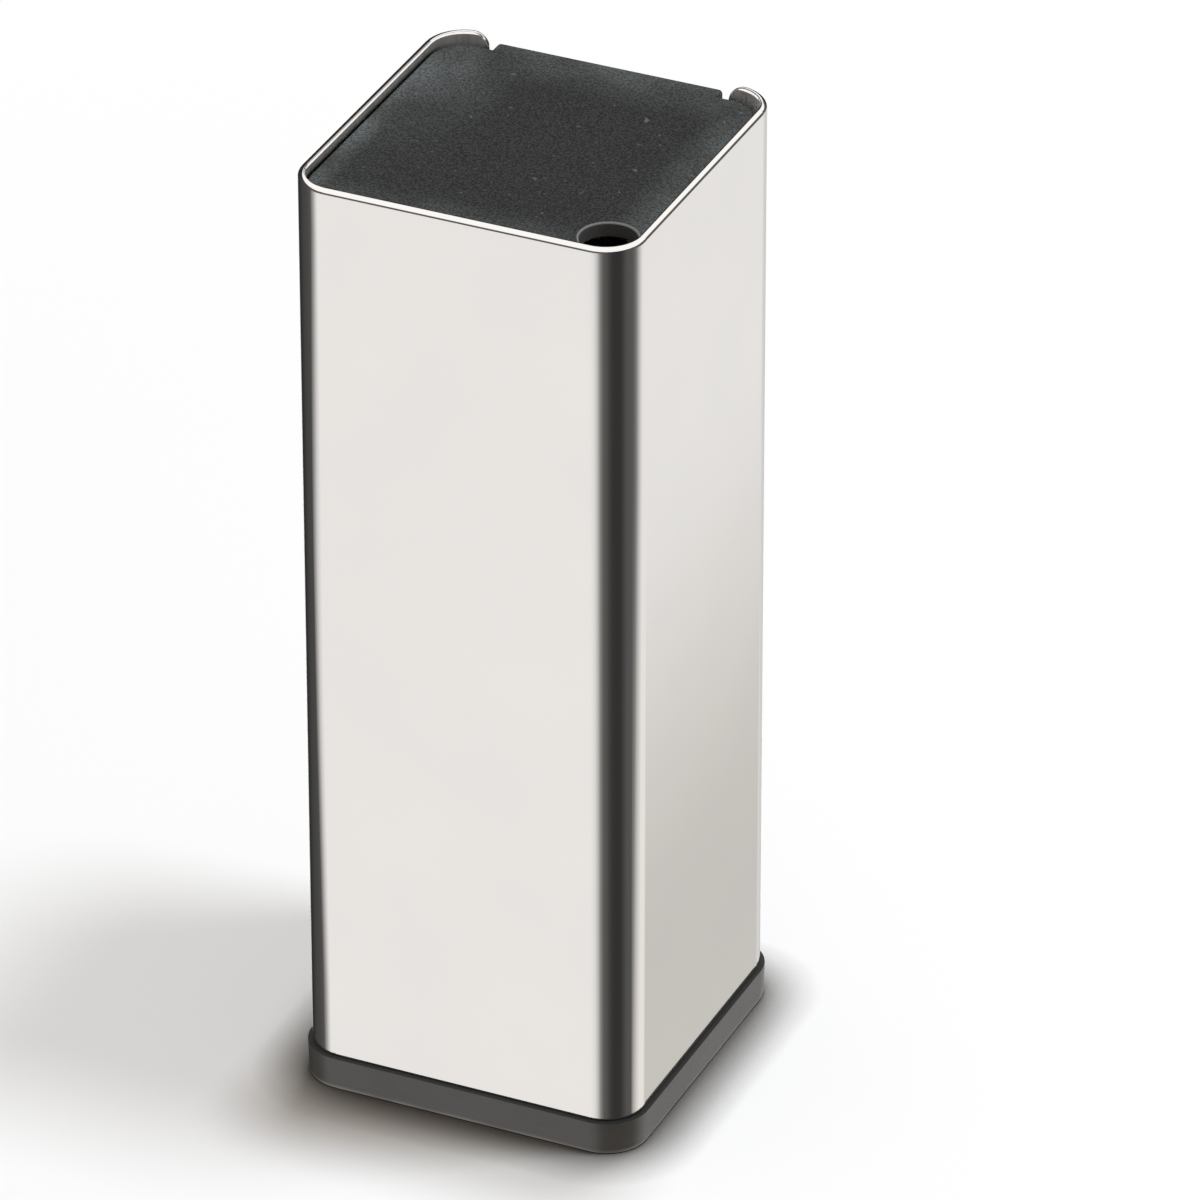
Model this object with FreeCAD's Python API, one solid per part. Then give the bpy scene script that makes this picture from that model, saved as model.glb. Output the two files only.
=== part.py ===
import FreeCAD, Part
import os
from math import cos, radians, sin, sqrt

# A square toothpick dispenser: a stainless sleeve stands on a moulded base, and a moulded
# see-saw lid lies just inside its rim.  Pressing the lid's rear tab with the thumb, in the
# cut-out of the rear wall, lifts the lid's front for refilling.  One pick at a time slides
# out of the hole in the lid's corner when the dispenser is turned over and shaken.
#
# Millimetres and degrees.  X is to the right, Y to the rear, Z up; the origin is the centre
# of the base's underside.

Vector = FreeCAD.Vector

# ---- Driving dimensions -------------------------------------------------------------

overall_height = 90.0

# Sleeve: drawn square tube with polished, rounded edges
sleeve_width = 31.8
sleeve_wall = 0.6
sleeve_corner = 3.7           # outside corner radius
rim_rounding = 0.42           # outer edge of the rim and of the cut-out
rim_inner_chamfer = 0.1
sleeve_foot_rounding = 0.2    # outer edge where the sleeve stands on the base
ear_flat = 0.95               # flat of the rear wall between its corner and the cut-out
cutout_clearance = 0.8        # left under the tab as it swings through the wall
cutout_corner = 2.0           # lower corners
ear_rounding = 1.6            # upper corners of the two ears beside the cut-out

# Base: foot below the sleeve, hollow underneath, and a plug pressed into the sleeve
foot_overhang = 0.4           # past the sleeve, all round
foot_draft = 0.1              # each side leans in by this down to the table
foot_corner = 4.0
foot_height = 3.25            # up to the ledge on which the sleeve stands
foot_shoulder = 0.1           # rounding between side and ledge
foot_edge = 0.25              # rounding of the lowest edge
foot_wall = 2.2               # ring that stands on the table
floor_thickness = 1.6
plug_height = 8.0
plug_wall = 1.4
plug_clearance = 0.15
plug_lead = 0.7               # chamfer that starts the plug in the sleeve
crush_rib_radius = 0.8
crush_rib_spacing = 16.0
foot_rib = 1.0
foot_rib_recess = 0.5         # ribs and boss stay clear of the table
gate_boss_radius = 2.6

# Lid: plate with a corner hole and a rear tab, a locating rib below it, and the pocket
# behind the pivot that keeps the picks away from the cut-out
lid_recess = 0.85             # rim to lid surface
lid_thickness = 1.3
lid_side_gap = 0.2
lid_rear_gap = 0.75           # room for the rear corners as they turn
lid_rear_corner = 3.2
lid_rounding = 0.35
tab_gap = 0.65                # each side of the tab, in the cut-out
tab_corner = 0.4
hole_radius = 2.5
hole_side_web = 0.2           # left between the hole and the lid's right edge
hole_front_web = 0.5
hole_chamfer = 0.14
rib_depth = 1.0
rib_thickness = 0.9
rib_clearance = 0.35          # locating rib to the collar
apron_thickness = 1.0
apron_wall_gap = 0.4          # apron to the sleeve's rear wall
apron_overlap = 0.9           # apron past the cut-out, below and at the sides
web_thickness = 1.0
hinge_boss_wall = 0.85
hinge_boss_thickness = 1.7
catch_length = 8.0            # bead on the front of the locating rib
catch_radius = 0.45
catch_bite = 0.3              # the bead stands out from the rib by this
catch_play = 0.05             # between the bead and its groove in the collar
catch_end_gap = 0.5

# Hinge
pivot_from_rear = 10.3        # pin axis to the inside of the sleeve's rear wall
pin_radius = 0.75
pin_play = 0.04               # radial, in the collar's eyes
pin_end_gap = 0.1             # pin end to the sleeve
lid_open_angle = 60.0

# Collar: moulded ring pressed in under the lid, which rests on it and turns on its eyes
collar_wall = 1.0
collar_corner_gap = 0.2       # the corners stay clear of the sleeve
collar_eye_wall = 0.4
collar_lid_gap = 0.1
collar_rear_height = 4.6
collar_stop_margin = 0.8      # stop edges run this far past the lid's rear edge
collar_lead = 0.6             # inner chamfer below, so that picks don't catch
hole_notch_gap = 0.9          # the collar is cut away round the hole by this
hole_notch_depth = 2.5

# ---- Derived sizes ------------------------------------------------------------------

sleeve_half = sleeve_width / 2
inner_half = sleeve_half - sleeve_wall
inner_corner = sleeve_corner - sleeve_wall
cutout_half = sleeve_half - sleeve_corner - ear_flat

foot_top_half = sleeve_half + foot_overhang
foot_bottom_half = foot_top_half - foot_draft

lid_top = overall_height - lid_recess
lid_bottom = lid_top - lid_thickness
lid_half = inner_half - lid_side_gap
lid_rear = inner_half - lid_rear_gap
lid_front_corner = inner_corner - lid_side_gap
tab_half = cutout_half - tab_gap

eye_radius = pin_radius + pin_play + collar_eye_wall
axis_y = inner_half - pivot_from_rear
axis_z = lid_bottom - collar_lid_gap - eye_radius

hole_x = lid_half - hole_side_web - hole_radius
hole_y = hole_front_web + hole_radius - lid_half

# The tab's upper rear edge leaves the rear wall on this circle about the pin
tab_swing = sqrt((sleeve_half - axis_y) ** 2 + (lid_top - axis_z) ** 2)
cutout_bottom = axis_z - sqrt(tab_swing ** 2 - pivot_from_rear ** 2) - cutout_clearance

apron_outer = pivot_from_rear - apron_wall_gap
apron_inner = apron_outer - apron_thickness
apron_low_z = cutout_bottom - apron_overlap
apron_half = cutout_half + apron_overlap

collar_inner_half = inner_half - collar_wall
collar_top = lid_bottom - collar_lid_gap
rib_half = collar_inner_half - rib_clearance
boss_radius = pin_radius + hinge_boss_wall

BEYOND = 5.0                  # how far cutters run past what they cut
TINY = 1e-4


# ---- Shapes used more than once -----------------------------------------------------

def rounded_rectangle(x_low, x_high, y_low, y_high, radii, z):
    """Face of a rectangle; radii are front left, front right, rear right, rear left."""
    corners = [(x_low, y_low, 1, 1), (x_high, y_low, -1, 1),
               (x_high, y_high, -1, -1), (x_low, y_high, 1, -1)]
    arcs = []
    for index, ((x, y, inward_x, inward_y), radius) in enumerate(zip(corners, radii)):
        centre = Vector(x + inward_x * radius, y + inward_y * radius, z)
        on_y_side = Vector(x, centre.y, z)
        on_x_side = Vector(centre.x, y, z)
        middle = centre - Vector(inward_x, inward_y, 0) * (radius * sqrt(0.5))
        start, end = (on_y_side, on_x_side) if index % 2 == 0 else (on_x_side, on_y_side)
        arcs.append((start, middle, end))
    edges = []
    for index, (start, middle, end) in enumerate(arcs):
        edges.append(Part.Arc(start, middle, end).toShape())
        edges.append(Part.makeLine(end, arcs[(index + 1) % 4][0]))
    return Part.Face(Part.Wire(edges))


def rounded_square(half, radius, z):
    return rounded_rectangle(-half, half, -half, half, [radius] * 4, z)


def square_prism(half, radius, z_low, z_high):
    return rounded_square(half, radius, z_low).extrude(Vector(0, 0, z_high - z_low))


def drafted_prism(half_low, half_high, radius_high, height):
    """Rounded square standing on the table, its sides and corners leaning out evenly."""
    reach = half_high - radius_high
    radius_low = radius_high - (half_high - half_low)
    solid = box(-reach, reach, -reach, reach, 0, height)
    for quarter in range(4):
        corner = Part.makeCone(radius_low, radius_high, height, Vector(reach, reach, 0))
        side = side_profile([(reach, 0), (half_low, 0), (half_high, height), (reach, height)],
                            -reach, reach)
        for piece in (corner, side):
            piece.rotate(Vector(0, 0, 0), Vector(0, 0, 1), 90 * quarter)
            solid = solid.fuse(piece)
    return solid.removeSplitter()


def box(x_low, x_high, y_low, y_high, z_low, z_high):
    return Part.makeBox(x_high - x_low, y_high - y_low, z_high - z_low,
                        Vector(x_low, y_low, z_low))


def cross_cylinder(radius, x_low, x_high, y=axis_y, z=axis_z):
    """Cylinder along X; about the hinge pin unless another place is given."""
    return Part.makeCylinder(radius, x_high - x_low, Vector(x_low, y, z), Vector(1, 0, 0))


def side_profile(points, x_low, x_high):
    """Prism across X of a polygon given as (y, z) pairs."""
    corners = [Vector(x_low, y, z) for y, z in points]
    face = Part.Face(Part.makePolygon(corners + corners[:1]))
    return face.extrude(Vector(x_high - x_low, 0, 0))


def mirrored(shape):
    return shape.mirror(Vector(0, 0, 0), Vector(1, 0, 0))


def edges_where(shape, test):
    """Edges all of whose points, at the ends and the middle, pass the test."""
    chosen = []
    for edge in shape.Edges:
        points = [edge.valueAt(edge.FirstParameter + share * (edge.LastParameter - edge.FirstParameter))
                  for share in (0.0, 0.5, 1.0)]
        if all(test(point) for point in points):
            chosen.append(edge)
    return chosen


def square_distance(point, half, radius):
    """How far a point stands outside the upright rounded square, negative inside it."""
    x = abs(point.x) - (half - radius)
    y = abs(point.y) - (half - radius)
    if x > 0 and y > 0:
        return sqrt(x * x + y * y) - radius
    return max(x, y) - radius


def on_square(point, half, radius):
    return abs(square_distance(point, half, radius)) < TINY


# ---- Sleeve -------------------------------------------------------------------------

def make_sleeve():
    """Tube with the thumb cut-out, its outer edges rounded all along."""
    tube = square_prism(sleeve_half, sleeve_corner, foot_height, overall_height)
    tube = tube.cut(square_prism(inner_half, inner_corner, foot_height - BEYOND,
                                 overall_height + BEYOND))
    cutter = box(-cutout_half, cutout_half, inner_half - BEYOND, sleeve_half + BEYOND,
                 cutout_bottom, overall_height + BEYOND)
    lower_corners = edges_where(cutter, lambda p: abs(abs(p.x) - cutout_half) < TINY
                                and abs(p.z - cutout_bottom) < TINY)
    cutter = cutter.makeFillet(cutout_corner, lower_corners)
    tube = tube.cut(cutter)
    ear_corners = edges_where(tube, lambda p: abs(abs(p.x) - cutout_half) < TINY
                              and abs(p.z - overall_height) < TINY)
    tube = tube.makeFillet(ear_rounding, ear_corners)
    tube = tube.makeFillet(rim_rounding, rim_edges(tube, sleeve_half, sleeve_corner))
    foot_edges = edges_where(tube, lambda p: on_square(p, sleeve_half, sleeve_corner)
                             and abs(p.z - foot_height) < TINY)
    tube = tube.makeFillet(sleeve_foot_rounding, foot_edges)
    return tube.makeChamfer(rim_inner_chamfer, rim_edges(tube, inner_half, inner_corner))


def rim_edges(tube, half, corner):
    """Edges of the rim and the cut-out on one skin of the tube, outer or inner."""
    return edges_where(tube, lambda p: on_square(p, half, corner) and p.z > foot_height + TINY)


# ---- Base ---------------------------------------------------------------------------

def make_foot():
    """Foot with a slight draft, hollow underneath and ribbed."""
    foot = drafted_prism(foot_bottom_half, foot_top_half, foot_corner, foot_height)
    foot = foot.makeFillet(foot_shoulder, edges_where(foot, lambda p: abs(p.z - foot_height) < TINY))
    foot = foot.makeFillet(foot_edge, edges_where(foot, lambda p: abs(p.z) < TINY))
    pocket_half = foot_bottom_half - foot_wall
    pocket_top = foot_height - floor_thickness
    foot = foot.cut(square_prism(pocket_half, foot_corner, -BEYOND, pocket_top))
    for x_half, y_half in ((pocket_half, foot_rib / 2), (foot_rib / 2, pocket_half)):
        foot = foot.fuse(box(-x_half, x_half, -y_half, y_half, foot_rib_recess, pocket_top))
    boss_height = pocket_top - foot_rib_recess
    return foot.fuse(Part.makeCylinder(gate_boss_radius, boss_height, Vector(0, 0, foot_rib_recess)))


def make_plug():
    """Upstanding ring with crush ribs that bite in the sleeve."""
    outer = inner_half - plug_clearance
    top = foot_height + plug_height
    plug = square_prism(outer, inner_corner, foot_height, top)
    plug = plug.makeChamfer(plug_lead, edges_where(plug, lambda p: abs(p.z - top) < TINY))
    plug = plug.cut(square_prism(outer - plug_wall, inner_corner, foot_height, top + BEYOND))
    rib_height = plug_height - 2 * plug_lead
    for quarter in range(4):
        for along in (-crush_rib_spacing / 2, crush_rib_spacing / 2):
            centre = Vector(along, crush_rib_radius - inner_half, foot_height)
            rib = Part.makeCylinder(crush_rib_radius, rib_height, centre)
            rib.rotate(Vector(0, 0, 0), Vector(0, 0, 1), 90 * quarter)
            plug = plug.fuse(rib)
    return plug


def make_base():
    return make_foot().fuse(make_plug()).removeSplitter()


# ---- Collar -------------------------------------------------------------------------

def make_collar():
    """Ring whose side walls carry the pin; they slope behind it as the lid's open stop."""
    reach = inner_half + BEYOND
    lid_rear_from_axis = lid_rear - axis_y + collar_stop_margin
    along_y, along_z = cos(radians(lid_open_angle)), -sin(radians(lid_open_angle))
    across_y, across_z = -along_z, along_y
    stop_start = (axis_y + eye_radius * across_y, axis_z + eye_radius * across_z)
    stop_end = (stop_start[0] + lid_rear_from_axis * along_y,
                stop_start[1] + lid_rear_from_axis * along_z)
    bottom = stop_end[1] - collar_rear_height
    profile = [(-reach, bottom), (-reach, collar_top), (axis_y, collar_top), (axis_y, axis_z),
               stop_start, stop_end, (reach, stop_end[1]), (reach, bottom)]
    walls = side_profile(profile, -reach, reach)
    walls = walls.fuse(cross_cylinder(eye_radius, -reach, reach))
    ring = square_prism(inner_half, inner_corner + collar_corner_gap, bottom - BEYOND,
                        overall_height)
    mouth = square_prism(collar_inner_half, inner_corner - collar_wall, bottom - 2 * BEYOND,
                         overall_height + BEYOND)
    ring = ring.cut(mouth).common(walls).removeSplitter()
    lead = edges_where(ring, lambda p: abs(p.z - bottom) < TINY
                       and on_square(p, collar_inner_half, inner_corner - collar_wall))
    ring = ring.makeChamfer(collar_lead, lead)
    ring = ring.cut(cross_cylinder(pin_radius + pin_play, -reach, reach))
    groove = make_catch_bead(catch_radius + catch_play, catch_length + 2 * catch_end_gap)
    notch = Part.makeCylinder(hole_radius + hole_notch_gap, hole_notch_depth + BEYOND,
                              Vector(hole_x, hole_y, collar_top - hole_notch_depth))
    return ring.cut([groove, notch])


def make_catch_bead(radius, length):
    """Bead along X on the front of the lid's rib, or the groove for it in the collar."""
    y = catch_radius - rib_half - catch_bite
    z = lid_bottom - rib_depth / 2
    return cross_cylinder(radius, -length / 2, length / 2, y, z)


# ---- Lid ----------------------------------------------------------------------------

def make_plate():
    """Plate with the tab that fills the cut-out, flush with the sleeve's rear face."""
    corners = [lid_front_corner, lid_front_corner, lid_rear_corner, lid_rear_corner]
    body = rounded_rectangle(-lid_half, lid_half, -lid_half, lid_rear, corners, lid_bottom)
    tab = rounded_rectangle(-tab_half, tab_half, lid_rear - lid_rear_corner, sleeve_half,
                            [tab_corner] * 4, lid_bottom)
    up = Vector(0, 0, lid_thickness)
    plate = body.extrude(up).fuse(tab.extrude(up)).removeSplitter()
    return plate.makeFillet(lid_rounding, edges_where(plate, lambda p: abs(p.z - lid_top) < TINY))


def make_locating_rib():
    """Low rib under the plate, just inside the collar, from one hinge boss to the other."""
    corner = inner_corner - collar_wall
    z_low = lid_bottom - rib_depth
    outer = square_prism(rib_half, corner, z_low, lid_bottom)
    inner = square_prism(rib_half - rib_thickness, corner, z_low - BEYOND, lid_bottom + BEYOND)
    rib = outer.cut(inner)
    return rib.common(box(-rib_half, rib_half, -rib_half, axis_y, z_low, lid_bottom))


def make_hinge_boss():
    """Right-hand boss that holds the pin."""
    x_high = rib_half
    x_low = x_high - hinge_boss_thickness
    neck = box(x_low, x_high, axis_y - boss_radius, axis_y + boss_radius, axis_z, lid_bottom)
    return cross_cylinder(boss_radius, x_low, x_high).fuse(neck)


def make_pocket():
    """Apron rolled about the pin behind the cut-out, closed by a web at each end."""
    below = apron_low_z - axis_z
    side_points = [(axis_y, axis_z), (axis_y, lid_bottom), (axis_y + apron_outer, lid_bottom),
                   (axis_y + apron_outer, apron_low_z),
                   (axis_y + sqrt(apron_inner ** 2 - below ** 2), apron_low_z)]
    sector = side_profile(side_points, -apron_half, apron_half)
    sector = sector.common(cross_cylinder(apron_outer, -apron_half, apron_half))
    web_face = apron_half - web_thickness
    hollow = cross_cylinder(apron_inner, -web_face, web_face)
    return sector.cut(hollow)


def make_hole_cutter():
    """Upright bore that widens at the lid's surface."""
    centre = Vector(hole_x, hole_y, lid_bottom - BEYOND)
    bore = Part.makeCylinder(hole_radius, lid_thickness + 2 * BEYOND, centre)
    mouth = Part.makeCone(hole_radius, hole_radius + 2 * hole_chamfer, 2 * hole_chamfer,
                          Vector(hole_x, hole_y, lid_top - hole_chamfer))
    return bore.fuse(mouth)


def make_lid():
    boss = make_hinge_boss()
    lid = make_plate().fuse([make_locating_rib(), boss, mirrored(boss), make_pocket(),
                             make_catch_bead(catch_radius, catch_length)])
    bore = cross_cylinder(pin_radius, -sleeve_half, sleeve_half)
    return lid.cut([make_hole_cutter(), bore]).removeSplitter()


# ---- Hinge pin ----------------------------------------------------------------------

def make_hinge_pin():
    half = inner_half - pin_end_gap
    return cross_cylinder(pin_radius, -half, half)


# ---- Output -------------------------------------------------------------------------

PIECES = {
    "sleeve": make_sleeve,
    "base": make_base,
    "collar": make_collar,
    "lid": make_lid,
    "hinge_pin": make_hinge_pin,
}

os.makedirs("parts", exist_ok=True)
for name, make in PIECES.items():
    shape = make()
    print(name, "valid", shape.isValid(), "solids", len(shape.Solids),
          "volume %.1f" % shape.Volume, shape.optimalBoundingBox(False))
    shape.exportStep("parts/" + name + ".step")
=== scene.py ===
from math import cos, pi, radians, sin

import bpy
from mathutils import Matrix, Vector


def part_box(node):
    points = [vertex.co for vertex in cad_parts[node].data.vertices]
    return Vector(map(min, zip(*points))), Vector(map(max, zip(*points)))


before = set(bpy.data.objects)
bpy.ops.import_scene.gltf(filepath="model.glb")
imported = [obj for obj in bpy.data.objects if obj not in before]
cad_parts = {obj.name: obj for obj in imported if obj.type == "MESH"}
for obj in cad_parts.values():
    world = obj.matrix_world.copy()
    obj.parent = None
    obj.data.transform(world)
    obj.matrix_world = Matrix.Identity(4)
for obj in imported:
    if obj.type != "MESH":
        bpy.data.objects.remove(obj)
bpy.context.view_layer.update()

# The dispenser's looks.  Metres and degrees, in the frame of the construction: X is to the
# right, Y to the rear, Z up, and an azimuth turns from the front (-Y) towards the right (+X).

MM = 0.001

# ---- Sizes --------------------------------------------------------------------------

sleeve_low, sleeve_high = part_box("sleeve")
lid_low, lid_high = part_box("lid")

sleeve_half = sleeve_high.x
sleeve_top = sleeve_high.z
ledge = sleeve_low.z          # the sleeve stands on this ledge of the base
sleeve_corner = 3.7 * MM
hole_axis = (12.4 * MM, -12.1 * MM, 0)
hole_radius = 2.5 * MM
hole_edge = 2.6 * MM          # a painted highlight ring round the hole lies here,
hole_edge_width = 0.12 * MM   # and fades out this far from it

# The sleeve's rim: places through its wall are measured from the axis of a corner.
inner_wall = 3.14 * MM        # what lies inside this is the inner wall
rim_depth = 0.43 * MM         # the rim's rounding ends this far down
edge_break = 0.26 * MM        # height of the bevel at the top of the inner wall
bevel_fall = 1.5              # and its slope
crown_line = 3.36 * MM        # the rim's finely rounded top is highest here
crown_fall_in = 1.2           # how fast it falls away inwards, per millimetre
crown_fall_out = -0.6         # outwards it rises, so that the rounding there looks wider
left_crown_line = 3.14 * MM   # on the left it is highest further in,
left_crown_fall_out = 0.8     # and falls away outwards
gap_reach = 1.2 * MM          # painted shade darkens the sleeve's inside this close to the lid

# ---- Camera -------------------------------------------------------------------------

camera_azimuth = 24.755
camera_elevation = 30.685
camera_roll = -0.2615         # its right side dips
camera_distance = 0.906       # to the middle of the object
camera_lens = 312.99          # millimetres,
camera_sensor = 36.0          # on a sensor this wide
camera_aim_right = 5.57 * MM  # the object stands left of the picture's middle
camera_aim_down = 0.57 * MM


def direction(azimuth, elevation=0.0):
    """Unit vector from the object towards an azimuth and elevation."""
    a, e = radians(azimuth), radians(elevation)
    return Vector((sin(a) * cos(e), -cos(a) * cos(e), sin(e)))


def make_camera():
    back = direction(camera_azimuth, camera_elevation)
    right = direction(camera_azimuth + 90)
    up = back.cross(right)
    turn = radians(camera_roll)
    rolled_right = right * cos(turn) + up * sin(turn)
    middle = Vector((0, 0, sleeve_top / 2))
    aim = middle + right * camera_aim_right - up * camera_aim_down
    place = middle + back * camera_distance
    view = (aim - place).normalized()
    rolled_right = (rolled_right - view * rolled_right.dot(view)).normalized()
    rolled_up = rolled_right.cross(view)
    camera = bpy.data.objects.new("camera", bpy.data.cameras.new("camera"))
    bpy.context.scene.collection.objects.link(camera)
    camera.data.lens = camera_lens
    camera.data.sensor_width = camera_sensor
    camera.data.clip_start = 0.05
    camera.data.clip_end = 20.0
    turned = Matrix((rolled_right, rolled_up, -view)).transposed().to_4x4()
    camera.matrix_world = Matrix.Translation(place) @ turned
    bpy.context.scene.camera = camera


# ---- Node helpers -------------------------------------------------------------------

def new_material(name):
    material = bpy.data.materials.new(name)
    material.use_nodes = True
    material.node_tree.nodes.clear()
    return material, material.node_tree


def add(tree, kind, settings=None, **inputs):
    """New node; inputs are numbers, colours or other nodes' outputs.

    An input goes by its socket's name, or by in and its socket's number.
    """
    node = tree.nodes.new(kind)
    for name, value in (settings or {}).items():
        setattr(node, name, value)
    for name, value in inputs.items():
        numbered = name.startswith("in") and name[2:].isdigit()
        socket = node.inputs[int(name[2:]) if numbered else name.replace("_", " ")]
        if isinstance(value, bpy.types.NodeSocket):
            tree.links.new(value, socket)
        else:
            socket.default_value = value
    return node


def calculate(tree, operation, first, second=None):
    inputs = {"in0": first} if second is None else {"in0": first, "in1": second}
    return add(tree, "ShaderNodeMath", {"operation": operation}, **inputs).outputs[0]


def calculate_vector(tree, operation, first, second=None):
    """Outputs of a node that works on vectors: 0 is its vector and "Value" its number."""
    inputs = {"in0": first} if second is None else {"in0": first, "in1": second}
    return add(tree, "ShaderNodeVectorMath", {"operation": operation}, **inputs).outputs


def place_of(tree, stretch=(1, 1, 1)):
    """The object's own coordinates in metres, stretched along its axes."""
    coordinates = add(tree, "ShaderNodeTexCoord").outputs["Object"]
    if stretch == (1, 1, 1):
        return coordinates
    return add(tree, "ShaderNodeMapping", Vector=coordinates, Scale=stretch).outputs[0]


def flat_place(tree):
    """The object's own coordinates without their height."""
    return calculate_vector(tree, "MULTIPLY", place_of(tree), (1, 1, 0))[0]


def axes_of(tree, vector):
    """A vector's X, Y and Z."""
    return add(tree, "ShaderNodeSeparateXYZ", Vector=vector).outputs


def noise(tree, size, detail=2.0, stretch=(1, 1, 1), rough=0.5):
    """Noise whose features are about as large as size, in metres."""
    return add(tree, "ShaderNodeTexNoise", Vector=place_of(tree, stretch), Scale=1 / size,
               Detail=detail, Roughness=rough).outputs["Fac"]


def remap(tree, value, low, high, to_low, to_high, smooth=False):
    kind = "SMOOTHSTEP" if smooth else "LINEAR"
    node = add(tree, "ShaderNodeMapRange", {"interpolation_type": kind}, Value=value)
    for name, number in (("From Min", low), ("From Max", high),
                         ("To Min", to_low), ("To Max", to_high)):
        node.inputs[name].default_value = number
    return node.outputs[0]


def spread(tree, fac, to_low, to_high):
    """Noise, nearly all of which lies between 0.3 and 0.7, spread over another range."""
    return remap(tree, fac, 0.3, 0.7, to_low, to_high)


def ramp(tree, value, stops):
    """Number that follows straight runs between (value, number) stops."""
    low, high = stops[0][0], stops[-1][0]
    node = add(tree, "ShaderNodeValToRGB", Fac=remap(tree, value, low, high, 0, 1))
    elements = node.color_ramp.elements
    for position, number in stops[1:-1]:
        elements.new((position - low) / (high - low)).color = grey(number)
    elements[0].color = grey(stops[0][1])
    elements[-1].color = grey(stops[-1][1])
    return node.outputs[0]


def mix_numbers(tree, share, first, second):
    return add(tree, "ShaderNodeMix", {"data_type": "FLOAT"}, in0=share, in2=first,
               in3=second).outputs[0]


def mix_vectors(tree, share, first, second):
    return add(tree, "ShaderNodeMix", {"data_type": "VECTOR"}, in0=share, in4=first,
               in5=second).outputs[1]


def blend_colours(tree, share, first, second):
    return add(tree, "ShaderNodeMix", {"data_type": "RGBA"}, in0=share, in6=first,
               in7=second).outputs[2]


def grey(level, warmth=0.0):
    return (level * (1 + warmth), level, level * (1 - warmth), 1.0)


def finish_surface(tree, **inputs):
    shader = add(tree, "ShaderNodeBsdfPrincipled", **inputs)
    output = add(tree, "ShaderNodeOutputMaterial")
    tree.links.new(shader.outputs[0], output.inputs["Surface"])


def bump(tree, height, depth, below=None):
    node = add(tree, "ShaderNodeBump", Height=height, Distance=depth, Strength=1.0)
    if below is not None:
        tree.links.new(below, node.inputs["Normal"])
    return node.outputs[0]


# ---- Steel --------------------------------------------------------------------------

def through_wall(tree):
    """Distance from the axis of a corner: how far through the sleeve's wall a place is."""
    reach = sleeve_half - sleeve_corner
    folded = calculate_vector(tree, "ABSOLUTE", flat_place(tree))[0]
    past = calculate_vector(tree, "SUBTRACT", folded, (reach, reach, 0))[0]
    past = calculate_vector(tree, "MAXIMUM", past, (0, 0, 0))[0]
    return calculate_vector(tree, "LENGTH", past)["Value"]


def on_left_wall(tree, through):
    """1 on the sleeve's left wall, falling to 0 round its corners."""
    across = axes_of(tree, place_of(tree))[0]
    past = calculate(tree, "SUBTRACT", sleeve_corner - sleeve_half, across)
    return calculate(tree, "DIVIDE", calculate(tree, "MAXIMUM", past, 0.0), through)


def rim_crown(tree, through, bevelled):
    """Height in millimetres of the rim's crown and of the bevel at the top of its inner wall."""
    on_left = on_left_wall(tree, through)
    line = mix_numbers(tree, on_left, crown_line, left_crown_line)
    fall_out = mix_numbers(tree, on_left, crown_fall_out, left_crown_fall_out)
    off = calculate(tree, "MULTIPLY", calculate(tree, "SUBTRACT", through, line), 1 / MM)
    fall = mix_numbers(tree, calculate(tree, "LESS_THAN", off, 0.0), fall_out, crown_fall_in)
    crown = calculate(tree, "MULTIPLY", calculate(tree, "MULTIPLY", off, off), fall)
    bevel = calculate(tree, "MULTIPLY", bevelled, bevel_fall)
    return calculate(tree, "SUBTRACT", 0.0, calculate(tree, "ADD", crown, bevel))


def make_polished_steel():
    """Mirror polish outside, with the faint upright lines and haze of buffing; mill finish inside, with
    painted shade near the lid.
    """
    material, tree = new_material("polished_steel")
    haze = noise(tree, 14 * MM, detail=3)
    lines = noise(tree, 0.25 * MM, detail=3, stretch=(1, 1, 0.012))
    wave = noise(tree, 9 * MM, detail=1)
    through = through_wall(tree)
    height = axes_of(tree, place_of(tree))[2]
    bevel_foot = sleeve_top - edge_break
    on_inner_wall = calculate(tree, "LESS_THAN", through, inner_wall)
    into_bevel = remap(tree, height, bevel_foot, sleeve_top, 0, edge_break / MM)
    bevelled = calculate(tree, "MULTIPLY", on_inner_wall, into_bevel)
    inside = calculate(tree, "MULTIPLY", on_inner_wall,
                       calculate(tree, "LESS_THAN", height, bevel_foot))
    colour = blend_colours(tree, spread(tree, haze, 0, 1), grey(0.760, 0.030), grey(0.780, 0.036))
    # painted shade: the inner wall goes near black where the lid is close
    open_share = add(tree, "ShaderNodeAmbientOcclusion", {"samples": 8},
                     Distance=gap_reach).outputs["AO"]
    painted_gap_shade = calculate(tree, "MULTIPLY", inside, remap(tree, open_share, 0.3, 0.6, 1, 0))
    colour = blend_colours(tree, painted_gap_shade, colour, grey(0.02))
    polish = calculate(tree, "ADD", spread(tree, haze, 0.05, 0.08), spread(tree, lines, 0.0, 0.03))
    mill = spread(tree, lines, 0.55, 0.68)
    crowned = bump(tree, rim_crown(tree, through, bevelled), MM)
    on_rim = calculate(tree, "GREATER_THAN", height, sleeve_top - rim_depth)
    plain = add(tree, "ShaderNodeNewGeometry").outputs["Normal"]
    rounded = mix_vectors(tree, on_rim, plain, crowned)
    smooth = bump(tree, wave, 0.004 * MM, below=rounded)
    lined = bump(tree, lines, 0.0004 * MM, below=smooth)
    finish_surface(tree, Base_Color=colour, Metallic=1.0,
                   Roughness=mix_numbers(tree, inside, polish, mill), Normal=lined)
    return material


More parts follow.
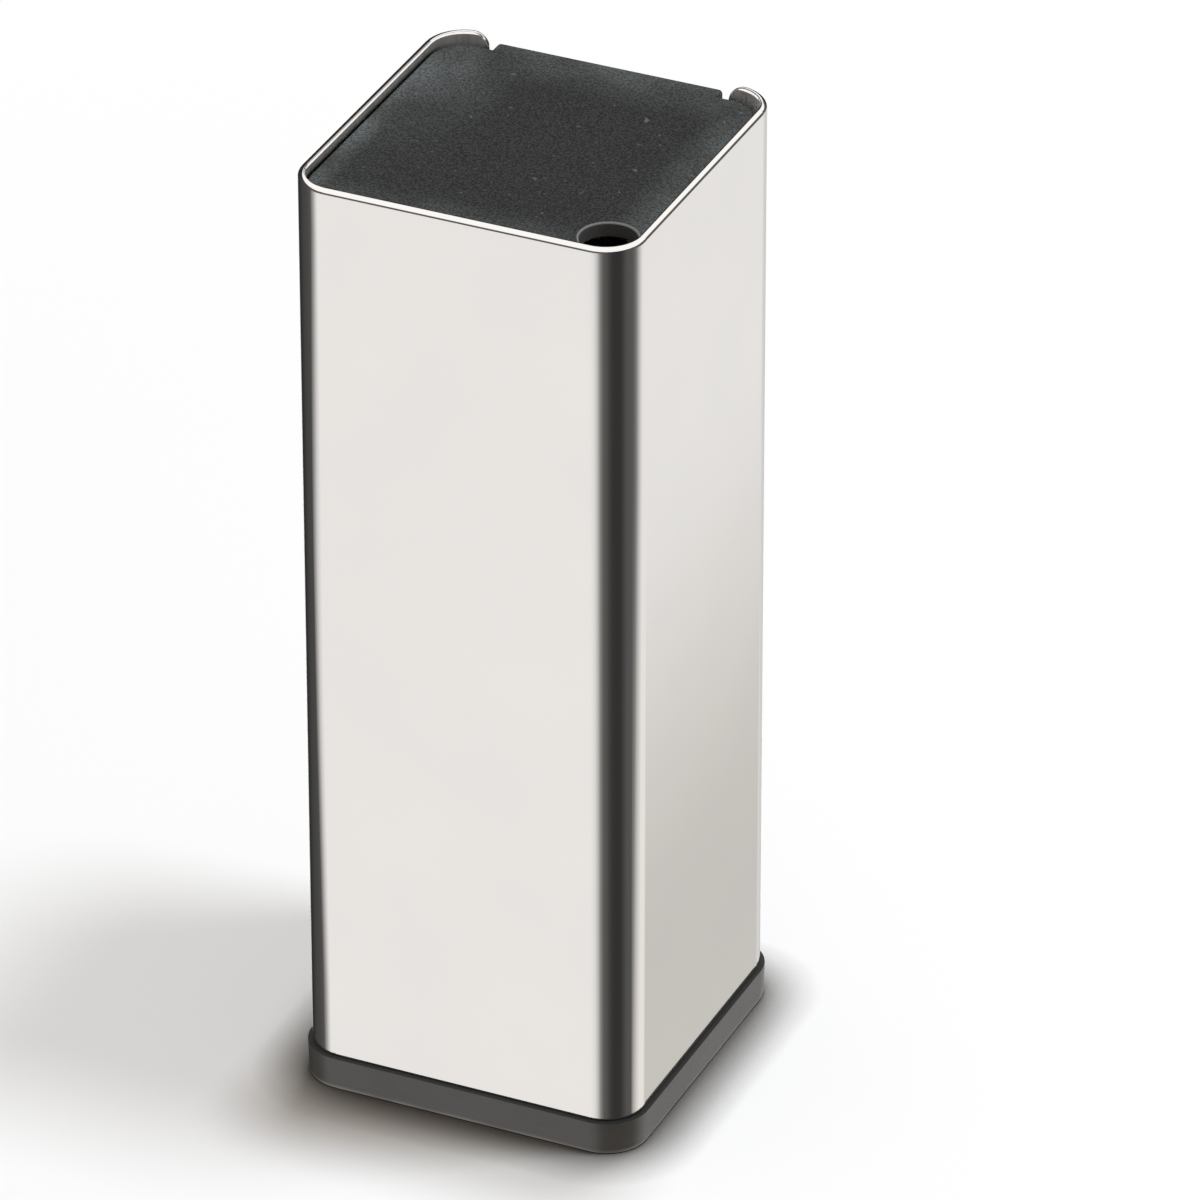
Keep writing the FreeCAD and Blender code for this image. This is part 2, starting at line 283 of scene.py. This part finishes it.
def make_pin_steel():
    """Drawn wire, with fine rings where it turns in its eyes."""
    material, tree = new_material("pin_steel")
    rings = noise(tree, 0.12 * MM, detail=3, stretch=(1, 0.05, 0.05))
    colour = blend_colours(tree, rings, grey(0.50, 0.01), grey(0.66, 0.01))
    finish_surface(tree, Base_Color=colour, Metallic=1.0, Roughness=spread(tree, rings, 0.22, 0.38),
                   Normal=bump(tree, rings, 0.002 * MM))
    return material


# ---- Plastic ------------------------------------------------------------------------

edge_sheen_width = 4.5 * MM       # painted sheen makes the lid lighter about this far in from its edges
left_sheen_width = 10 * MM         # and a painted sheen lies this far in from its left edge,
left_sheen_start = -4 * MM         # from here
left_sheen_end = 10 * MM           # to here ever more
ledge_shade = (0.10 * MM, 0.04 * MM)   # painted shade on the base's ledge starts between these depths under it
foot_highlight = (0.20 * MM, 0.50 * MM)   # and a painted highlight along its foot fades out between these heights


def painted_sheen_mask(tree):
    """Painted sheen: 0 over the middle of the lid, rising to 1 at its edges."""
    x, y, _ = axes_of(tree, place_of(tree))
    # Place, edge, share of the sheen's width, and strength.
    edges = [(x, lid_low.x, 0.7, 0.95), (x, lid_high.x, 1.0, 0.55),
             (y, lid_low.y, 1.0, 0.45), (y, lid_high.y, 1.6, 0.65)]
    mask = 0.0
    for place, edge, share, strength in edges:
        width = edge_sheen_width * share
        start = edge - width if edge > 0 else edge + width
        here = remap(tree, place, start, edge, 0, strength, smooth=True)
        mask = calculate(tree, "MAXIMUM", mask, here)
    near_left = remap(tree, x, lid_low.x + left_sheen_width, lid_low.x, 0, 1)
    near_rear = remap(tree, y, left_sheen_start, left_sheen_end, 0.15, 1, smooth=True)
    left_sheen = calculate(tree, "MULTIPLY", near_left, near_rear)
    return calculate(tree, "MAXIMUM", mask, left_sheen)


def from_hole(tree):
    """Distance from the axis of the lid's hole."""
    return calculate_vector(tree, "DISTANCE", flat_place(tree), hole_axis)["Value"]


def make_lid_plastic():
    """Black moulding with a spark-eroded grain; painted sheen at its edges, a painted highlight round the
    hole, painted light in its bore.
    """
    material, tree = new_material("lid_plastic")
    grain = noise(tree, 0.2 * MM, detail=1.5, rough=0.6)
    specks = noise(tree, 0.8 * MM, detail=1)
    patches = noise(tree, 6 * MM, detail=2)
    body = blend_colours(tree, remap(tree, grain, 0.4, 0.62, 0, 1), grey(0.006), grey(0.034))
    # painted sheen along the lid's edges and towards its rear left, broken into patches and laid on the
    # grain's crests; the light specks are dust
    painted_edge_light = calculate(tree, "MULTIPLY", painted_sheen_mask(tree),
                       remap(tree, patches, 0.35, 0.65, 0.35, 1.0))
    crests = remap(tree, grain, 0.38, 0.6, 0.35, 1.0)
    sheen_and_specks = calculate(tree, "MAXIMUM", calculate(tree, "MULTIPLY", painted_edge_light, crests),
                       remap(tree, specks, 0.74, 0.8, 0, 0.7))
    colour = blend_colours(tree, sheen_and_specks, body, (0.120, 0.130, 0.130, 1))
    reach = from_hole(tree)
    off_edge = calculate(tree, "ABSOLUTE", calculate(tree, "SUBTRACT", reach, hole_edge))
    # painted highlight on a ring round the hole's edge
    ring = remap(tree, off_edge, 0, hole_edge_width, 1, 0, smooth=True)
    colour = blend_colours(tree, ring, colour, grey(0.22))
    # painted light on the wall of the hole's bore
    bore = calculate(tree, "LESS_THAN", reach, hole_radius + 0.02 * MM)
    colour = blend_colours(tree, bore, colour, grey(0.12))
    finish_surface(tree, Base_Color=colour, Roughness=spread(tree, grain, 0.42, 0.6), IOR=1.5,
                   Specular_IOR_Level=0.12, Normal=bump(tree, grain, 0.02 * MM))
    return material


def make_base_plastic():
    """Charcoal moulding with a satin grain and faint flow lines; painted shade on its ledge, a painted
    highlight along its foot.
    """
    material, tree = new_material("base_plastic")
    grain = noise(tree, 0.2 * MM, detail=3)
    flow = noise(tree, 5 * MM, detail=2, stretch=(1, 1, 2.5))
    height = axes_of(tree, place_of(tree))[2]
    # painted shade on the ledge under the sleeve, which is also rougher
    on_ledge = remap(tree, height, ledge - ledge_shade[0], ledge - ledge_shade[1], 0, 1)
    # painted highlight along the foot, broken up by the flow lines
    at_foot = remap(tree, height, *foot_highlight, 1, 0, smooth=True)
    painted_edge_light = calculate(tree, "MULTIPLY", at_foot, remap(tree, flow, 0.35, 0.65, 0.3, 1))
    colour = blend_colours(tree, spread(tree, flow, 0, 1), grey(0.093, 0.01), grey(0.112, 0.01))
    colour = blend_colours(tree, on_ledge, colour, grey(0.008))
    colour = blend_colours(tree, painted_edge_light, colour, grey(0.28))
    satin = spread(tree, grain, 0.28, 0.42)
    finish_surface(tree, Base_Color=colour, Roughness=mix_numbers(tree, on_ledge, satin, 0.8),
                   IOR=1.5, Normal=bump(tree, grain, 0.006 * MM))
    return material


def make_collar_plastic():
    """Plain black moulding, smoother than the lid."""
    material, tree = new_material("collar_plastic")
    flow = noise(tree, 3 * MM, detail=3)
    grain = noise(tree, 0.15 * MM, detail=2)
    colour = blend_colours(tree, flow, grey(0.016), grey(0.026))
    finish_surface(tree, Base_Color=colour, Roughness=spread(tree, flow, 0.3, 0.45), IOR=1.5,
                   Normal=bump(tree, grain, 0.003 * MM))
    return material


MATERIALS = {
    "sleeve": make_polished_steel,
    "hinge_pin": make_pin_steel,
    "lid": make_lid_plastic,
    "base": make_base_plastic,
    "collar": make_collar_plastic,
}


def dress_frame():
    for node, make in MATERIALS.items():
        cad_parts[node].material_slots[0].material = make()


# ---- World and floor ----------------------------------------------------------------

white = (1.0, 1.0, 1.0, 1.0)
world_on_matt = 0.36
world_tint = (1.10, 1.0, 0.90, 1.0)   # on matt surfaces the world is a little warm,
lamp_tint = (0.953, 1.0, 1.047)       # and the lamps as much cooler, so only the shade looks warm
sky_in_steel = 1.22           # what mirrors see above the horizon
horizon = (22.0, 28.0)        # degrees; the sky fades in upwards between these
table_in_steel = 0.15         # what mirrors see of the table close by, steeply below them
table_edge = (-50.0, -38.0)   # degrees; it fades out upwards between these
floor_radius = 4.0
floor_sides = 96
floor_colour = 0.9
contact_reach = 5.4 * MM      # the shade gathers this close to what stands on the floor
contact_depth = 2.6
contact_colour = (0.028, 0.018, 0.008, 1.0)
white_floor = (60 * MM, 220 * MM)  # the floor fades to the camera's white between these distances

# Azimuth in degrees and level of the dark room that mirrors see below the horizon.
DARK_ROOM = [(-180, 0.07), (-165, 0.03), (-125, 0.03), (-100, 0.066), (-80, 0.08), (-60, 0.12),
             (17, 0.125), (25, 0.104), (33, 0.065), (42, 0.042), (58, 0.038), (66, 0.046),
             (81, 0.10), (97, 0.115), (150, 0.12), (180, 0.07)]


def before_matt(tree):
    """1 until a ray has met a matt surface, 0 after it: the steel throws no glare on the floor."""
    met = add(tree, "ShaderNodeLightPath").outputs["Diffuse Depth"]
    return calculate(tree, "LESS_THAN", met, 0.5)


def fade_between(tree, rise, angles, to_low, to_high):
    """Number that fades between two angles above the horizontal, given the rise of a direction."""
    low, high = (sin(radians(angle)) for angle in angles)
    return remap(tree, rise, low, high, to_low, to_high, smooth=True)


def make_world():
    """White to the camera, soft and even to matt surfaces; mirrors see dark under a bright sky."""
    world = bpy.data.worlds.new("studio")
    world.use_nodes = True
    tree = world.node_tree
    tree.nodes.clear()
    rays = add(tree, "ShaderNodeLightPath").outputs
    x, y, z = axes_of(tree, add(tree, "ShaderNodeTexCoord").outputs["Generated"])
    turn = calculate(tree, "ARCTAN2", x, calculate(tree, "MULTIPLY", y, -1.0))
    dark = ramp(tree, remap(tree, turn, -pi, pi, -180, 180), DARK_ROOM)
    sky = fade_between(tree, z, horizon, 0, 1)
    table = fade_between(tree, z, table_edge, 1, 0)
    below = mix_numbers(tree, table, dark, table_in_steel)
    in_mirror = mix_numbers(tree, sky, below, sky_in_steel)
    mirrors = calculate(tree, "MAXIMUM", rays["Is Glossy Ray"], rays["Is Transmission Ray"])
    mirrors = calculate(tree, "MULTIPLY", mirrors, before_matt(tree))
    matt_or_mirror = mix_numbers(tree, mirrors, world_on_matt, in_mirror)
    strength = mix_numbers(tree, rays["Is Camera Ray"], matt_or_mirror, 1.0)
    untinted = calculate(tree, "MAXIMUM", rays["Is Camera Ray"], mirrors)
    colour = blend_colours(tree, untinted, world_tint, white)
    background = add(tree, "ShaderNodeBackground", Color=colour, Strength=strength)
    output = add(tree, "ShaderNodeOutputWorld")
    tree.links.new(background.outputs[0], output.inputs[0])
    bpy.context.scene.world = world


def make_floor_material():
    """Matt white with contact shade, plain white far out, and clear when it is seen from below."""
    material, tree = new_material("floor")
    shade = add(tree, "ShaderNodeAmbientOcclusion", {"samples": 8}, Distance=contact_reach)
    open_share = calculate(tree, "POWER", shade.outputs["AO"], contact_depth)
    colour = blend_colours(tree, open_share, contact_colour, grey(floor_colour))
    near = add(tree, "ShaderNodeBsdfDiffuse", Color=colour)
    far = add(tree, "ShaderNodeEmission", Color=white, Strength=1.0)
    reach = calculate_vector(tree, "LENGTH", place_of(tree))["Value"]
    away = remap(tree, reach, *white_floor, 0, 1, smooth=True)
    above = add(tree, "ShaderNodeMixShader", in0=away, in1=near.outputs[0], in2=far.outputs[0])
    clear = add(tree, "ShaderNodeBsdfTransparent")
    below = add(tree, "ShaderNodeNewGeometry").outputs["Backfacing"]
    surface = add(tree, "ShaderNodeMixShader", in0=below, in1=above.outputs[0],
                  in2=clear.outputs[0])
    output = add(tree, "ShaderNodeOutputMaterial")
    tree.links.new(surface.outputs[0], output.inputs["Surface"])
    return material


def make_floor():
    """Disc that shows its shadow to the camera."""
    rim = [direction(360 * k / floor_sides) * floor_radius for k in range(floor_sides)]
    mesh = bpy.data.meshes.new("floor")
    mesh.from_pydata([tuple(corner) for corner in rim], [], [tuple(range(floor_sides))])
    mesh.materials.append(make_floor_material())
    floor = bpy.data.objects.new("floor", mesh)
    bpy.context.scene.collection.objects.link(floor)
    floor.visible_glossy = False
    floor.visible_diffuse = False


# ---- Lamps and panels ---------------------------------------------------------------

# Azimuth, lean from straight above, radius and watts.
LAMPS = {
    "overhead": (176, 4.9, 0.055, 4.8),
    "side": (110, 20, 0.11, 4.6),
}
lamp_distance = 1.1

# Four upright panels light only mirrors, one beside each side of the sleeve: they give it an even
# sheen, and the dark room shows in the corners between them.  Each has its azimuth, its top, and
# stops of millimetres along it, counted the way azimuths turn, with its level there.
PANELS = {
    "front": (0, 88.2, [(-27.6, 0), (-21.1, 0.33), (-18.3, 0.67), (-15.7, 1), (11.8, 1),
                        (12.5, 0.86), (13.1, 0.58), (13.7, 0.17), (14.4, 0)]),
    "right": (90, 88.2, [(-13.6, 0), (-13.0, 0.05), (-12.35, 0.19), (-11.7, 0.5), (-10.9, 0.76),
                         (-10.0, 0.95), (18.4, 0.95)]),
    "rear": (180, 88.2, [(-18.4, 0.9), (-17.5, 0.85), (-16.7, 0.72), (-13, 0.68), (-11, 1), (11, 1),
                         (14, 0)]),
    "left": (270, 87.3, [(-15, 0), (-12, 1), (8, 1), (11, 0)]),
}
panel_gap = 2.5 * MM
panel_low = -15 * MM
panel_level = 0.885

# How the front and right panels change along and up them; places and heights are millimetres.
fringe_start = -14.7          # the front panel's left fringe, from here on,
fringe_squeeze = 1.60         # is this much narrower at its top and foot than halfway up
fringe_middle = 45            # which is here,
fringe_reach = 38             # and the squeeze is full this far from there
right_change = 66             # from here down the right panel changes:
right_slant = 0.019           # its front end comes forward by this share
slant_run = 100               # of this height,
right_darkest = 14            # it gets darker down to here,
table_shade = 0.33            # by this share at most,
shade_start = (-8.2, -7.0)    # behind a place between these,
table_tint = (1.01, 1.0, 0.955, 1.0)  # and takes on this tint


def add_lamp(name, light, place, facing):
    lamp = bpy.data.objects.new(name, light)
    bpy.context.scene.collection.objects.link(lamp)
    lamp.location = place
    lamp.rotation_euler = facing.to_track_quat("Z", "Y").to_euler()
    return lamp


def make_lamp(name, azimuth, lean, radius, watts):
    light = bpy.data.lights.new(name, "AREA")
    light.shape = "DISK"
    light.size = 2 * radius
    light.energy = watts
    light.color = lamp_tint
    out = direction(azimuth, 90 - lean)
    lamp = add_lamp(name, light, out * lamp_distance, out)
    lamp.visible_glossy = False


def squeezed_fringe(tree, along, height):
    """Place along the front panel, drawn in at its left fringe near its top and foot."""
    from_middle = calculate(tree, "ABSOLUTE", calculate(tree, "SUBTRACT", height, fringe_middle))
    share = calculate(tree, "POWER", remap(tree, from_middle, 0, fringe_reach, 0, 1), 2.0)
    squeeze = calculate(tree, "MULTIPLY", share, fringe_squeeze)
    into_fringe = calculate(tree, "MINIMUM", calculate(tree, "SUBTRACT", along, fringe_start), 0.0)
    return calculate(tree, "ADD", along, calculate(tree, "MULTIPLY", into_fringe, squeeze))


def slanted_end(tree, along, height):
    """Place along the right panel, whose front end comes forward as it goes down."""
    forward = remap(tree, height, right_change, right_change - slant_run, 0, slant_run * right_slant)
    return calculate(tree, "ADD", along, forward)


def low_down(tree, height):
    """1 at the right panel's foot, falling to 0 where it starts to change."""
    return remap(tree, height, right_darkest, right_change, 1, 0, smooth=True)


def shaded_level(tree, level, along, height):
    """Level of the right panel, less low down and behind its front end."""
    behind = remap(tree, along, *shade_start, 0, table_shade, smooth=True)
    lost = calculate(tree, "MULTIPLY", low_down(tree, height), behind)
    return calculate(tree, "MULTIPLY", level, calculate(tree, "SUBTRACT", 1.0, lost))


def panel_glow(tree, side, along, height, stops):
    """Level of a panel at a place on it, in millimetres along it and up."""
    if side == "front":
        return ramp(tree, squeezed_fringe(tree, along, height), stops)
    if side == "right":
        along = slanted_end(tree, along, height)
        return shaded_level(tree, ramp(tree, along, stops), along, height)
    return ramp(tree, along, stops)


def light_panel(tree, side, azimuth, stops):
    """Nodes of a panel's light."""
    tree.nodes.clear()
    position = add(tree, "ShaderNodeNewGeometry").outputs["Position"]
    place = add(tree, "ShaderNodeVectorMath", {"operation": "SCALE"}, Scale=1 / MM,
                in0=position).outputs[0]
    height = axes_of(tree, place)[2]
    along = calculate_vector(tree, "DOT_PRODUCT", place, direction(azimuth + 90))["Value"]
    glow = panel_glow(tree, side, along, height, stops)
    level = calculate(tree, "MULTIPLY", glow, before_matt(tree))
    colour = white
    if side == "right":
        colour = blend_colours(tree, low_down(tree, height), white, table_tint)
    emission = add(tree, "ShaderNodeEmission", Color=colour, Strength=level)
    output = add(tree, "ShaderNodeOutputLight")
    tree.links.new(emission.outputs[0], output.inputs[0])


def make_panel(side, azimuth, top, stops):
    low, high = stops[0][0] * MM, stops[-1][0] * MM
    panel_high = top * MM
    name = side + "_panel"
    light = bpy.data.lights.new(name, "AREA")
    light.shape = "RECTANGLE"
    light.size = high - low
    light.size_y = panel_high - panel_low
    light.energy = pi * light.size * light.size_y * panel_level
    light.use_nodes = True
    light_panel(light.node_tree, side, azimuth, stops)
    out = direction(azimuth)
    middle = out * (sleeve_half + panel_gap) + direction(azimuth + 90) * ((low + high) / 2)
    lamp = add_lamp(name, light, middle + Vector((0, 0, (panel_low + panel_high) / 2)), out)
    lamp.visible_camera = False
    lamp.visible_diffuse = False
    lamp.visible_transmission = False
    lamp.visible_volume_scatter = False


def make_studio():
    make_world()
    make_floor()
    for name, (azimuth, lean, radius, watts) in LAMPS.items():
        make_lamp(name + "_lamp", azimuth, lean, radius, watts)
    for side, (azimuth, top, stops) in PANELS.items():
        make_panel(side, azimuth, top, stops)


# ---- Scene --------------------------------------------------------------------------

make_camera()
dress_frame()
make_studio()
bpy.context.scene.view_settings.view_transform = "Standard"
